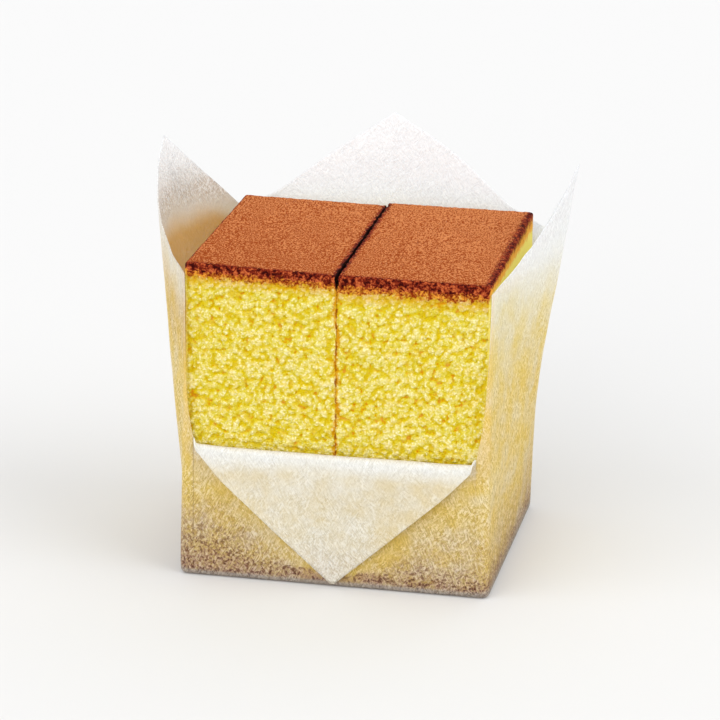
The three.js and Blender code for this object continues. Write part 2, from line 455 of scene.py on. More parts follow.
    def finish(self, shader: Signal) -> bpy.types.Material:
        """Sends a shader to the material's output.

        Args:
            shader: The shader of the whole surface.

        Returns:
            The finished material.
        """
        output = self.tree.nodes.new("ShaderNodeOutputMaterial")
        self.tree.links.new(shader.socket, output.inputs["Surface"])
        return self.material


def srgb(red: int, green: int, blue: int) -> Colour:
    """Turns a colour as a screen shows it, 0 to 255, into the linear numbers of a shader."""
    shares = [value / 255.0 for value in (red, green, blue)]
    return tuple(s / 12.92 if s <= 0.04045 else ((s + 0.055) / 1.055) ** 2.4 for s in shares)


# ---------------------------------------------------------------- finishes


@dataclass(frozen=True)
class SpongeFinish:
    """Crumb, top crust, dark rim and bottom crust of a slice, told apart by height."""

    name: str = "castella_sponge"
    pit_amber: Colour = srgb(208, 140, 6)
    pit_gold: Colour = srgb(212, 182, 4)
    crumb_deep: Colour = srgb(211, 184, 6)
    crumb_mid: Colour = srgb(219, 200, 70)
    crumb_pale: Colour = srgb(236, 225, 168)
    # Fine painted shade and painted glints on the crumb.
    crumb_painted_shade: Colour = srgb(196, 168, 60)
    crumb_painted_glint: Colour = srgb(254, 247, 202)
    crumb_peach: Colour = srgb(244, 206, 122)
    crumb_lime: Colour = srgb(212, 212, 92)
    # Pale side face: partly the pressed crumb's own colour, partly painted light.
    pressed_side_and_painted_light: Colour = srgb(255, 242, 130)
    side_amber: Colour = srgb(250, 182, 66)
    crust_dark: Colour = srgb(152, 65, 13)
    crust_light: Colour = srgb(207, 129, 76)
    rim_dark: Colour = srgb(54, 4, 3)
    rim_mid: Colour = srgb(124, 36, 16)
    rim_light: Colour = srgb(196, 98, 52)
    amber_dark: Colour = srgb(138, 48, 10)
    amber_light: Colour = srgb(224, 150, 48)
    rim_stain: Colour = srgb(204, 138, 18)
    # Painted shade along the cut between the slices, and painted shadow in the opening at its top.
    cut_line_shade: Colour = srgb(206, 142, 4)
    cut_line_deep_shade: Colour = srgb(150, 74, 8)
    slit_shadow: Colour = srgb(34, 8, 5)
    base_crust: Colour = srgb(120, 60, 24)
    grit_pitch: float = 0.42
    sand_pitch: float = 0.3
    tuft_pitch: float = 1.3
    clump_pitch: float = 0.8
    crust_bead_pitch: float = 0.56
    crumb_bead_pitch: float = 0.62
    patch_pitch: float = 2.5
    pit_pitch: float = 1.4
    fine_pitch: float = 0.44
    warm_pitch: float = 1.5
    rim_height: float = 1.85
    amber_height: float = 1.0
    stain_height: float = 2.4
    base_height: float = 1.1
    cut_width: float = 0.8
    side_lift: float = 0.75
    side_fade: float = -0.2
    crust_stretch: Colour = (1.0, 1.8, 1.0)
    paler_rightwards: float = 6.5
    paler_backwards: float = 11.0

    def build(self) -> bpy.types.Material:
        """Builds the material.

        Returns:
            A material that reads the attributes relief, from_rim, above_base, from_cut, cut_line and pressed.
        """
        graph = Graph(self.name)
        where = graph.place()
        relief = graph.attribute("relief")
        pressed = graph.attribute("pressed")
        from_rim = graph.attribute("from_rim") + pressed * self.side_lift
        from_cut = graph.attribute("from_cut")
        grit = graph.noise(where, self.grit_pitch, 2.0) - 0.5
        sand = graph.noise(where, self.sand_pitch, 1.0, stretch=self.crust_stretch) - 0.5
        tuft = graph.noise(where, self.tuft_pitch, 3.0) - 0.5
        clump = graph.noise(where, self.clump_pitch, 2.0) - 0.5
        beads = graph.balls(where, self.crust_bead_pitch, stretch=self.crust_stretch) - 0.5

        # The line of the cut is painted shade: amber in broken stretches, with a darker core where the slices
        # meet.
        broken = graph.noise(where, 2.0, 1.0, shift=0.5).step(0.3, 0.52, 0.3, 0.95)
        ragged = graph.attribute("cut_line") + grit * 0.9 + tuft * 0.9 + relief * 0.7
        core = (from_cut + grit * 0.7).step(0.3, 0.06) * graph.noise(where, 1.7, 1.0).step(0.5, 0.6)
        rough = 1.0 - pressed * 0.4
        depth = from_rim + (tuft * 2.8 + grit * 1.8) * rough
        amber_end = self.rim_height + self.amber_height
        stained = (from_rim + tuft * 2.4 * rough).step(amber_end + self.stain_height, amber_end)
        # Over the crumb: the paler pressed side, partly its own colour and partly painted light; painted
        # shade along the cut; and the real stain below the rim.
        stains_shade_and_light = [
            (pressed * 0.96, self.pressed_side_and_painted_light),
            (ragged.step(self.cut_width + 0.35, 0.4) * broken, self.cut_line_shade),
            (core * 0.8, self.cut_line_deep_shade),
            (stained * (0.5 - pressed * 0.42), self.rim_stain),
        ]
        crumb = graph.layered(self.crumb(graph, where, relief, grit), stains_shade_and_light)

        # Tone of the rim and the amber band. Its relief term makes the grain tops lighter and the hollows
        # darker, which is painted light and shade.
        shade = (clump * 1.8 + grit * 1.5 + sand * 0.6) * rough + relief * 0.5 + 0.22 - pressed * 0.16
        rim_stops = [(0.24, self.rim_dark), (0.6, self.rim_mid), (1.0, self.rim_light)]
        rim = graph.ramp(shade + from_rim.step(0.4, self.rim_height) * 0.22, rim_stops)
        amber = graph.blend(shade.step(0.1, 1.0), self.amber_dark, self.amber_light)
        amber = graph.blend(pressed * 0.8, amber, self.side_amber)
        edge = from_rim + clump * 3.6 + grit * 2.4
        colour = graph.blend(edge.step(-1.2, -0.7), self.crust(graph, where, grit, sand, beads), rim)
        colour = graph.blend(depth.step(self.rim_height - 0.4, self.rim_height + 0.3), colour, amber)
        crumb_from = pressed * self.side_fade + amber_end + 0.4
        colour = graph.blend(depth.step(amber_end - 0.5, crumb_from), colour, crumb)
        # The opening at the top of the cut is painted shadow.
        slit_shadow = (from_cut + grit * 0.5).step(0.16, 0.03) * from_rim.step(3.2, 2.0)
        base = (graph.attribute("above_base") + tuft).step(self.base_height + 0.4, self.base_height - 0.3)
        colour = graph.layered(colour, [(slit_shadow, self.slit_shadow), (base, self.base_crust)])

        on_top = from_rim.step(0.1, -0.3)
        normal = graph.bump((grit + sand * 0.8) * (1.0 - on_top * 0.5) * (1.0 - pressed * 0.7), 0.3)
        normal = graph.bump((beads * 0.8 + sand * 1.6) * on_top, 0.12, normal)
        shader = graph.surface(
            {"Base Color": colour, "Roughness": 0.85, "Specular IOR Level": 0.07, "Normal": normal}
        )
        return graph.finish(shader)

    def crust(self, graph: Graph, where: Signal, grit: Signal, sand: Signal, beads: Signal) -> Signal:
        """Colour of the browned top: fine flecks, paler towards the right and the back.

        Args:
            graph: The material's graph.
            where: Place on the piece.
            grit: Fine noise around 0.
            sand: Finer noise around 0.
            beads: Height of small packed beads, around 0.

        Returns:
            The colour.
        """
        cloud = graph.noise(where, 5.0, 2.0) - 0.5
        # Paler towards the right and the back, by place alone.
        browned = graph.dot(where, (self.paler_rightwards, self.paler_backwards, 0.0))
        fleck = beads * 0.9 + sand * 9.6 + grit * 1.2 + cloud * 0.4 + browned + 0.5
        return graph.blend(fleck.step(0.0, 1.0), self.crust_dark, self.crust_light)

    def crumb(self, graph: Graph, where: Signal, relief: Signal, grit: Signal) -> Signal:
        """Colour of the open crumb: pale on the grains, deep between them, gold or amber in the pits.
        It follows the relief, so it is partly the crumb's own colour and partly painted light and shade.

        Args:
            graph: The material's graph.
            where: Place on the piece.
            relief: Height of the crumb.
            grit: Fine noise around 0.

        Returns:
            The colour.
        """
        beads = graph.balls(where, self.crumb_bead_pitch)
        patch = graph.noise(where, self.patch_pitch, 1.0, shift=0.8) - 0.5
        # The relief makes the grain tops paler and the hollows deeper: partly the crumb's own colour, partly
        # painted light and shade.
        tone = relief * 0.88 + beads * 0.14 + grit * 0.38 + patch * 0.42 - 0.12
        stops = [(0.2, self.crumb_deep), (0.46, self.crumb_mid), (0.9, self.crumb_pale)]
        hue = graph.noise(where, self.pit_pitch, 2.0).step(0.46, 0.62)
        pit = graph.blend(hue, self.pit_gold, self.pit_amber)
        crumb = graph.blend(tone.step(0.22, 0.06), graph.ramp(tone, stops), pit)
        fine = graph.noise(where, self.fine_pitch, 0.0, shift=0.3)
        warm = graph.noise(where, self.warm_pitch, 1.0, shift=0.6)
        # Fine painted shade, random peach and lime, and painted glints on the grain tops.
        flecks = [
            (fine.step(0.5, 0.25) * 0.28, self.crumb_painted_shade),
            (warm.step(0.5, 0.66) * 0.14, self.crumb_peach),
            (warm.step(0.5, 0.34) * 0.12, self.crumb_lime),
            (fine.step(0.52, 0.76) * tone.step(0.25, 0.55) * 0.55, self.crumb_painted_glint),
        ]
        return graph.layered(crumb, flecks)


@dataclass(frozen=True)
class PaperFinish:
    """Soft white fibrous paper, more see-through where it lies on the moist cake, stained in places, and with
    painted shade, painted reflection and painted light in places.
    """

    name: str = "wrapping_paper"
    white: Colour = srgb(252, 254, 255)
    grey: Colour = srgb(240, 242, 244)
    cream: Colour = srgb(234, 223, 194)
    soaked: Colour = srgb(242, 218, 120)
    painted_shade: Colour = srgb(184, 160, 134)
    honey_and_painted_light: Colour = srgb(206, 154, 38)
    tan: Colour = srgb(178, 138, 120)
    dot: Colour = srgb(104, 58, 38)
    foot_shade_grey: Colour = srgb(186, 179, 171)
    thin: float = 0.76
    dense: float = 0.97
    soaked_thin: float = 0.4
    glow: float = 0.3
    airy_glow: float = 0.16
    hair_pitch: float = 0.34
    felt_pitch: float = 0.36
    lint_pitch: float = 0.32
    hair_depth: float = 0.1
    crinkle_pitch: float = 1.1
    crinkle_depth: float = 0.26
    speck_pitch: float = 0.55
    hair_stretch: Colour = (1.0, 1.0, 3.6)
    hair_lean: Colour = (0.0, 0.6, 0.0)
    cross_lean: Colour = (0.0, -0.45, 0.0)
    crinkle_stretch: Colour = (1.0, 1.0, 2.0)

    def fibres(self, graph: Graph, on_sheet: Signal) -> Signal:
        """Height of the felted hairs: thin dashes that cross, over hairs that lean one way or the other.

        Args:
            graph: The material's graph.
            on_sheet: Place on the sheet laid flat.

        Returns:
            A signal around 0.
        """
        laid = {"stretch": self.hair_stretch, "lean": self.hair_lean}
        crossed = {"stretch": self.hair_stretch, "lean": self.cross_lean}
        turn = graph.noise(on_sheet, 1.8, 1.0, shift=0.3).step(0.42, 0.6)
        hairs = graph.noise(on_sheet, self.hair_pitch, 0.0, 0.7, shift=0.2, **laid).step(0.54, 0.68)
        others = graph.noise(on_sheet, self.hair_pitch, 0.0, 0.7, shift=0.7, **crossed).step(0.54, 0.68)
        down = (graph.noise(on_sheet, self.felt_pitch, 1.0, 0.8, **laid) - 0.5) * (1.0 - turn)
        across = (graph.noise(on_sheet, self.felt_pitch, 1.0, 0.8, **crossed) - 0.5) * turn
        lint = graph.noise(on_sheet, self.lint_pitch, 1.0) - 0.5
        return (hairs + others) * 0.24 + (down + across) * 1.9 + lint * 0.8 - 0.1

    def build(self) -> bpy.types.Material:
        """Builds the material.

        Returns:
            A material that reads the attributes on_sheet, soak, cream, painted_shade,
            honey_and_painted_light, stain, foot, nap and airy, of which foot is a band of painted shade. Its
            hairs are denser than the gaps between them and more marked in some patches.
        """
        graph = Graph(self.name)
        where = graph.place()
        soak, stain, honey_and_painted_light = graph.attribute("soak"), graph.attribute("stain"), graph.attribute("honey_and_painted_light")
        fibres = self.fibres(graph, graph.attribute("on_sheet", "Vector"))
        rough = graph.noise(where, 4.0, 2.0, shift=0.1).step(0.38, 0.62, 0.6, 1.0) * graph.attribute("nap")
        dense = (fibres * rough + 0.5).step(0.1, 0.9)
        cloud = graph.noise(where, 5.0, 2.0, shift=0.4)
        wet = soak * graph.noise(where, 7.0, 2.0).step(0.25, 0.7, 0.6, 1.2)
        tint = graph.attribute("cream") * cloud.step(0.3, 0.7, 0.55, 1.15)
        speck = graph.noise(where, self.speck_pitch, 2.0)
        mark = stain * (1.1 - dense * 0.6) * speck.step(0.3, 0.62)
        layers = [
            (dense, self.white),
            (tint * (1.15 - dense * 0.4), self.cream),
            (wet * (1.1 - dense * 0.6), self.soaked),
            (graph.attribute("painted_shade") * (1.15 - dense * 0.75), self.painted_shade),
            (honey_and_painted_light * (1.1 - dense * 0.35), self.honey_and_painted_light),
            (stain * stain * 0.42 + mark * 0.65, self.tan),
            (stain.step(0.45, 0.9) * speck.step(0.53, 0.62) * 0.85, self.dot),
            # The grey band along the floor is painted shade.
            (graph.attribute("foot") * 0.85, self.foot_shade_grey),
        ]
        thin = self.thin - soak * (self.thin - self.soaked_thin)
        opacity = thin + dense * (self.dense - thin)
        glow = graph.attribute("airy") * self.airy_glow + self.glow
        drawn = {"stretch": self.crinkle_stretch, "lean": self.hair_lean}
        crinkle = graph.noise(where, self.crinkle_pitch, 2.0, twist=0.8, **drawn)
        normal = graph.bump(crinkle * (1.0 - soak * 0.85), self.crinkle_depth)
        normal = graph.bump(fibres * rough, self.hair_depth, normal)
        colour = graph.layered(self.grey, layers)
        front = graph.surface(
            {"Base Color": colour, "Roughness": 0.85, "Specular IOR Level": 0.15, "Normal": normal}
        )
        # The same layers tint the light that comes through, where only factors of mixed shaders vary.
        through = graph.translucent(self.grey, normal)
        for amount, tint in layers:
            through = graph.join(amount, through, graph.translucent(tint, normal))
        clear = graph.node("ShaderNodeBsdfTransparent", {}, {})
        return graph.finish(graph.join(opacity, clear, graph.join(glow, front, through)))


@dataclass(frozen=True)
class FloorFinish:
    """Plain pale matt floor."""

    name: str = "studio_floor"
    pale: Colour = (0.735, 0.735, 0.735)

    def build(self) -> bpy.types.Material:
        """Builds the material and returns it."""
        graph = Graph(self.name)
        return graph.finish(graph.surface({"Base Color": (*self.pale, 1.0), "Roughness": 0.9}))


# ---------------------------------------------------------------- the cake


@dataclass(frozen=True)
class Cake:
    """Sizes that the two slices share."""

    width: float = 60.5
    depth: float = 52.0
    height: float = 64.0
    bottom: float = 0.7
    kerf: float = 0.02
    flare: float = 0.36
    flare_depth: float = 3.4
    groove: float = 0.035
    groove_depth: float = 0.7
    edge_radius: float = 0.6
    cut_cell: float = 0.08
    cut_wave: float = 0.4
    cut_wave_pitch: float = 2.0
    cut_shift: float = 60.0
    strip_width: float = 1.4
    uneven_pitch: float = 1.1
    back_inset: float = 0.8
    sag: float = 0.35
    swell: float = 0.2
    swell_pitch: float = 3.4
    grain_height: float = 0.52
    side_press: float = 0.9
    side_smooth: float = 0.4
    crumb_shift: float = 40.0
    grain_level: float = 0.62
    grain_radii: tuple[float, float] = (0.5, 0.85)
    grain_pitch: float = 1.1
    fine_pitch: float = 0.6
    loose_pitch: float = 2.6
    rim_reach: float = 3.0
    crust_height: float = 2.6
    fold_line: float = 27.0
    front_band: float = 1.5
    back_band: float = 2.0
    across_steps: int = 108
    deep_steps: tuple[int, int, int] = (8, 76, 5)
    up_steps: tuple[int, int] = (50, 146)


@dataclass
class Slice:
    """One slice: a rounded box with an open crumb, a browned top and a smooth cut side."""

    side: Side
    front_outer: float
    front_inner: float
    back_outer: float
    back_inner: float
    rim_drop: float = 1.0
    back_drop: float = 0.0
    outer_inset: float = 0.0
    cake: Cake = field(default_factory=Cake)

    @property
    def name(self) -> str:
        """Name of the solid that the slice replaces."""
        return f"castella_slice_{self.side.name.lower()}"

    def lines(self, half: np.ndarray) -> list[np.ndarray]:
        """Lines of the slice's grid, closest together where the crumb shows.

        Args:
            half: Half the slice's width, depth and height.

        Returns:
            The places of the lines along x, y and z, from the slice's middle.
        """
        cake = self.cake
        step_z = cake.fold_line - cake.bottom - half[2]
        side = half[0] - cake.cut_cell
        across = ruled((-half[0], -side, 1), (-side, side, cake.across_steps), (side, half[0], 1))
        near, far = cake.front_band - half[1], half[1] - cake.back_band
        deep = cake.deep_steps
        back = ruled((-half[1], near, deep[0]), (near, far, deep[1]), (far, half[1], deep[2]))
        up = ruled((-half[2], step_z, cake.up_steps[0]), (step_z, half[2], cake.up_steps[1]))
        return [across, back, up]

    def top_rise(self, outer: np.ndarray, back: np.ndarray) -> np.ndarray:
        """Height of the top over its mean, blended between the four corners.

        Args:
            outer: 0 at the cut to 1 at the outer side.
            back: 0 at the front to 1 at the back.

        Returns:
            The rise in millimetres.
        """
        front_edge = self.front_inner + (self.front_outer - self.front_inner) * outer
        back_edge = self.back_inner + (self.back_outer - self.back_inner) * outer
        return front_edge + (back_edge - front_edge) * back

    def crumb(self, points: np.ndarray) -> np.ndarray:
        """Relief of the open crumb: large balls, smaller balls between them, and a little noise.

        Args:
            points: Places in millimetres.

        Returns:
            Height from about 0 in a pit to about 1 on a grain.
        """
        cake = self.cake
        large = ball_relief(points, cake.grain_pitch, cake.grain_radii, Seed.LARGE_GRAINS)
        small = ball_relief(points, cake.fine_pitch, cake.grain_radii, Seed.SMALL_GRAINS)
        loose = smooth_noise(points, cake.loose_pitch, Seed.LOOSE_CRUMB)
        return np.clip(0.58 * large + 0.38 * small + 0.05 * loose, 0.0, 1.1)

    def cut_back(self, points: np.ndarray, below: np.ndarray, half: np.ndarray) -> np.ndarray:
        """How far points close to the cut draw back from it.

        The cut opens towards the top, and towards the front face along an uneven groove. Both fade out
        over the strip's width beside the cut.

        Args:
            points: Places from the slice's middle.
            below: Depths below the top.
            half: Half the slice's width, depth and height.

        Returns:
            A distance in millimetres for each point.
        """
        cake, sign = self.cake, self.side.value
        strip = 1 - ease(points[:, 0] * sign + half[0], 0.0, cake.strip_width)
        moved = points + [cake.cut_shift * sign, 0, 0]
        uneven = 0.5 + 0.5 * smooth_noise(moved, cake.uneven_pitch, Seed.OPEN_CUT)
        open_top = cake.flare * (0.45 + 1.1 * uneven) * (1 - ease(below, 0.8, cake.flare_depth))
        at_front = 1 - ease(points[:, 1] + half[1], 0.0, cake.groove_depth)
        groove = cake.groove * at_front * ease(uneven, 0.5, 0.95)
        return strip * (open_top + groove)

    def build(self) -> bpy.types.Object:
        """Builds the slice's closed mesh.

        A point of the box is drawn to a core that is smaller by the edge radius and pushed out along
        the direction from the core, which rounds every edge but those of the cut. It then moves along
        that direction by the relief of its face.

        Returns:
            The slice, which keeps relief, from_rim, above_base, from_cut, cut_line and pressed for its
            material.
        """
        cake, sign = self.cake, self.side.value
        half = np.array([(cake.width - cake.kerf) / 2, cake.depth, cake.height - cake.bottom]) / [1, 2, 2]
        half[0] /= 2
        box, quads = box_shell(self.lines(half))
        low, high = cake.edge_radius - half, half - cake.edge_radius
        (low if sign > 0 else high)[0] = -sign * half[0]
        core = np.clip(box, low, high)
        reach = box - core
        length = np.linalg.norm(reach, axis=1, keepdims=True)
        normal = reach / np.maximum(length, TINY)
        on_cut = length[:, 0] < TINY
        points = core + normal * cake.edge_radius
        points[on_cut] = box[on_cut]

        outer = np.clip(points[:, 0] * sign / (2 * half[0]) + 0.5, 0, 1)
        back = np.clip(points[:, 1] / (2 * half[1]) + 0.5, 0, 1)
        up = np.clip(points[:, 2] / (2 * half[2]) + 0.5, 0, 1)
        below = half[2] - points[:, 2]
        moved = points + [cake.crumb_shift * sign, 0, 0]
        grain = self.crumb(moved)
        swell = cake.swell * smooth_noise(moved, cake.swell_pitch, Seed.SWELL)
        upright = np.linalg.norm(normal[:, :2], axis=1)
        in_crust = 1 - ease(below, cake.crust_height - 0.9, cake.crust_height + 0.5)
        pressed = 1 - cake.side_press * np.abs(normal[:, 0])
        height = cake.grain_height * (1 - 0.2 * in_crust) * pressed * upright
        flat = (0.1 + 0.9 * upright) * (1 - 0.75 * in_crust)
        points = points + normal * (height * (grain - cake.grain_level) + flat * swell)[:, None]

        hollow = cake.sag * np.sin(np.pi * outer) * np.sin(np.pi * back) * ease(up, 0.9, 1.0)
        points[:, 0] += sign * self.cut_back(points, below, half)
        points[:, 2] += up * self.top_rise(outer, back) - hollow
        points += [sign * (cake.kerf / 2 + half[0]), 0, cake.bottom + half[2]]

        across = half[0] - np.abs(box[:, 0]) + self.outer_inset * (box[:, 0] * sign > 0)
        along = half[1] - np.abs(box[:, 1]) + cake.back_inset * (box[:, 1] > 0)
        inset = np.minimum(across, along)
        wave = cake.cut_wave * smooth_noise(points * [0, 0, 1], cake.cut_wave_pitch, Seed.CUT_LINE)
        outward = np.clip(normal[:, 0] * sign, 0, 1)
        drop = self.rim_drop + self.back_drop * back * outward
        piece = mesh_object(f"{self.side.name.lower()}_slice", points, [quads])
        # Side faces keep a high relief, which the sponge shows as pale crumb: partly the smoother side's own
        # colour, partly painted light.
        smooth = cake.side_smooth * np.abs(normal[:, 0])
        store(piece, "relief", np.where(on_cut, 0.3, grain * (1 - smooth) + 0.9 * smooth))
        store(piece, "from_rim", below / drop - np.minimum(inset, cake.rim_reach))
        store(piece, "above_base", 2 * half[2] - below)
        store(piece, "from_cut", outer * 2 * half[0])
        store(piece, "cut_line", outer * 2 * half[0] + sign * wave)
        store(piece, "pressed", outward)
        return piece

    def dress(self, piece: bpy.types.Object, material: bpy.types.Material) -> None:
        """Gives the slice its material and its place in the frame.

        Args:
            piece: The slice's mesh object.
            material: The sponge.
        """
        piece.data.materials.append(material)
        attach(piece, "root")
        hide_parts(self.name)


# ---------------------------------------------------------------- the paper


@dataclass(frozen=True)
class Span:
    """A stretch of the standing sheet between two of its ribs.

    base are points in plan that the foot of the sheet passes, rim are the points that its free edge
    passes, ribs is how many ribs it has, and belly is how far its middle is rounded outwards.
    """

    base: Sequence[tuple[float, float]]
    rim: Sequence[tuple[float, float, float]]
    ribs: int
    stretch: Stretch = Stretch.FREE
    belly: float = 0.0


def along_chain(points: np.ndarray, fractions: np.ndarray) -> np.ndarray:
    """Places along a chain of straight stretches.

    Args:
        points: Corners of the chain in plan, two numbers to a row.
        fractions: Shares of the way along the chain, from 0 to 1.

    Returns:
        One place in plan for each fraction.
    """
    lengths = np.linalg.norm(np.diff(points, axis=0), axis=1)
    travelled = np.concatenate([[0.0], np.cumsum(lengths)])
    wanted = fractions * travelled[-1]
    return np.stack([np.interp(wanted, travelled, points[:, axis]) for axis in range(2)], axis=-1)


def smooth_curve(points: np.ndarray, fractions: np.ndarray) -> np.ndarray:
    """Centripetal Catmull-Rom curve: a cubic between each two points, with the slope at a point set by
    its neighbours at distances counted as their square roots.

    Args:
        points: Points that the curve passes, three numbers to a row.
        fractions: Places along the curve from 0 to 1.

    Returns:
        One point for each fraction.
    """
    padded = np.concatenate([[2 * points[0] - points[1]], points, [2 * points[-1] - points[-2]]])
    knots = np.sqrt(np.linalg.norm(np.diff(padded, axis=0), axis=1))
    place = np.clip(fractions, 0, 1) * (len(points) - 1)
    first = np.minimum(place.astype(int), len(points) - 2)
    t = (place - first)[:, None]
    a, b, c, d = (padded[first + step] for step in range(4))
    ta, tb, tc = (knots[first + step][:, None] for step in range(3))
    slope_b = ((b - a) / ta - (c - a) / (ta + tb) + (c - b) / tb) * tb
    slope_c = ((c - b) / tb - (d - b) / (tb + tc) + (d - c) / tc) * tb
    cubic = 2 * b - 2 * c + slope_b + slope_c
    square = 3 * c - 3 * b - 2 * slope_b - slope_c
    return b + t * (slope_b + t * (square + t * cubic))


LEFT_TIP = (-44.8, 15.0, 78.4)
RIGHT_TIP = (40.8, 15.0, 77.8)
BACK_TIP = (-1.0, 38.0, 80.3)
BACK_LEFT = (-32.2, 27.6, 61.5)
BACK_RIGHT = (32.3, 27.6, 60.5)
FRONT_LEFT = (-30.1, -26.9, 62.4)
FRONT_RIGHT = (30.6, -26.5, 62.2)


@dataclass
class WrappingPaper:
    """The sheet of paper as one thin closed solid, built from ribs that run from the middle of its
    floor to its free edge."""

    half_x: float = 31.1
    half_y: float = 27.1
    thickness: float = 0.24
    corner_radius: float = 1.5
    bend_radius: float = 0.8
    flare: float = 1.3
    fold_height: float = 27.6
    fold_radius: float = 0.9
    flap_length: float = 26.4
    flap_half_width: float = 28.6
    flap_bulge: float = 0.5
    flap_lean: float = 1.3
    left_belly: float = 2.4
    fold_end: float = 28.3
    end_radius: float = 0.3
    end_reach: float = 7.0
    unroll: float = 1.3
    least_flap: float = 0.6
    long_wave: tuple[float, float, float] = (9.0, 9.0, 26.0)
    short_wave: tuple[float, float, float] = (3.6, 3.6, 6.0)
    floor_rows: int = 8
    bend_rows: int = 4
    wall_rows: int = 52
    fold_rows: int = 12
    flap_rows: int = 36
    flap_ribs: int = 110

    @property
    def rows(self) -> int:
        """Rows of a rib above the floor."""
        return self.bend_rows + self.wall_rows + self.fold_rows + self.flap_rows

    @property
    def end_shoulder(self) -> float:
        """Height at which the front wall starts to turn over, at an end of the fold."""
        return self.fold_height - self.end_radius

    @property
    def end_top(self) -> float:
        """Height of the free edge at an end of the fold, where the turn has unrolled."""
        return self.end_shoulder + math.pi * self.end_radius + self.least_flap

    def spans(self) -> list[Span]:
        """The stretches of the standing sheet.

        Returns:
            The stretches, anticlockwise from the right end of the fold to its left end.
        """
        x, y, end = self.half_x, self.half_y, self.fold_end
        foot_y, front_y, top = 8.0, -24.0, self.end_top
        right_fold = [(end, -27.4, top), (29.6, -27.5, 37.0), (30.4, -27.1, 50.0), FRONT_RIGHT]
        right_front = [FRONT_RIGHT, (32.3, -19.0, 63.9), (34.2, -11.0, 65.6), (37.4, 2.0, 69.6), RIGHT_TIP]
        right_back = [RIGHT_TIP, (37.2, 20.6, 70.0), BACK_RIGHT]
        back_right = [BACK_RIGHT, (25.2, 30.5, 63.4), (11.4, 35.0, 73.6), BACK_TIP]
        back_left = [BACK_TIP, (-14.0, 34.5, 71.5), (-26.2, 30.5, 62.8), BACK_LEFT]
        left_back = [BACK_LEFT, (-40.4, 18.8, 72.8), LEFT_TIP]
        left_front = [LEFT_TIP, (-42.2, 0.0, 70.4), (-36.6, -13.0, 63.8), FRONT_LEFT]
        left_fold = [FRONT_LEFT, (-29.9, -27.2, 50.0), (-29.4, -27.5, 37.0), (-end, -27.4, top)]
        return [
            Span([(end, -y), (x, -y), (x, front_y)], right_fold, 30, Stretch.LEAVES_FOLD),
            Span([(x, front_y), (x, foot_y)], right_front, 44),
            Span([(x, foot_y), (x, y)], right_back, 26),
            Span([(x, y), (0.0, y)], back_right, 42),
            Span([(0.0, y), (-x, y)], back_left, 42),
            Span([(-x, y), (-x, foot_y)], left_back, 26),
            Span([(-x, foot_y), (-x, front_y)], left_front, 44, belly=self.left_belly),
            Span([(-x, front_y), (-x, -y), (-end, -y)], left_fold, 30, Stretch.MEETS_FOLD),
        ]

    def footprint(self, base: np.ndarray) -> tuple[np.ndarray, np.ndarray]:
        """Draws points in plan to the footprint, a rectangle with round corners.

        Args:
            base: Points in plan on the rectangle.

        Returns:
            The points on the footprint and the directions that point out of it.
        """
        inner = np.array([self.half_x, self.half_y]) - self.corner_radius
        core = np.clip(base, -inner, inner)
        outward = (base - core) / np.linalg.norm(base - core, axis=1, keepdims=True)
        return core + outward * self.corner_radius, outward

    def fold_share(self) -> np.ndarray:
        """Spaces the rows of a rib at the end of the fold.

        Returns:
            Height of each row as a share of that rib's height, from 0 to 1.
        """
        bend = self.bend_radius * (1 - np.cos(np.linspace(0, np.pi / 2, self.bend_rows + 1)))
        wall = np.linspace(self.bend_radius, self.end_shoulder, self.wall_rows + 1)[1:]
        arc = math.pi * self.end_radius
        turned = self.end_shoulder + arc * np.linspace(0, 1, self.fold_rows + 1)[1:]
        flap = turned[-1] + np.linspace(0, self.least_flap, self.flap_rows + 1)[1:]
        heights = np.concatenate([bend, wall, turned, flap])
        return heights / heights[-1]

    def standing(self, span: Span) -> np.ndarray:
        """Ribs that stand from the footprint to the free edge.

        In plan a rib goes from its foot to the rim by its height's share to the power of the flare, and
        close to the floor it pulls in along a quarter circle.

        Args:
            span: The stretch of the sheet.

        Returns:
            Points of the middle of the sheet, by rib and row.
        """
        fractions = np.linspace(0, 1, span.ribs, endpoint=False)
        foot, outward = self.footprint(along_chain(np.array(span.base), fractions))
        rim = smooth_curve(np.array(span.rim), fractions)
        even = np.linspace(0, 1, self.rows + 1)
        nearness = {Stretch.LEAVES_FOLD: 1 - fractions, Stretch.MEETS_FOLD: fractions}
        close = ease(nearness.get(span.stretch, np.zeros(span.ribs)), 0.0, 1.0)[:, None]
        share = close * self.fold_share() + (1 - close) * (0.35 * self.fold_share() + 0.65 * even)
        level = self.fold_share() * self.end_top / rim[:, 2:]
        share = np.where(np.arange(self.rows + 1) <= self.bend_rows, level, share)
        height = share * rim[:, 2:]
        spread = (share**self.flare)[..., None]
        plan = foot[:, None] * (1 - spread) + rim[:, None, :2] * spread
        belly = span.belly * np.sin(np.pi * fractions)[:, None] * np.sin(np.pi * share)
        plan = plan + outward[:, None] * belly[..., None]
        dip = np.clip(self.bend_radius - height, 0, None)
        pull = self.bend_radius - np.sqrt(np.clip(self.bend_radius**2 - dip**2, 0, None))
        plan = plan - outward[:, None] * pull[..., None]
        return np.concatenate([plan, height[..., None] + self.thickness / 2], axis=-1)

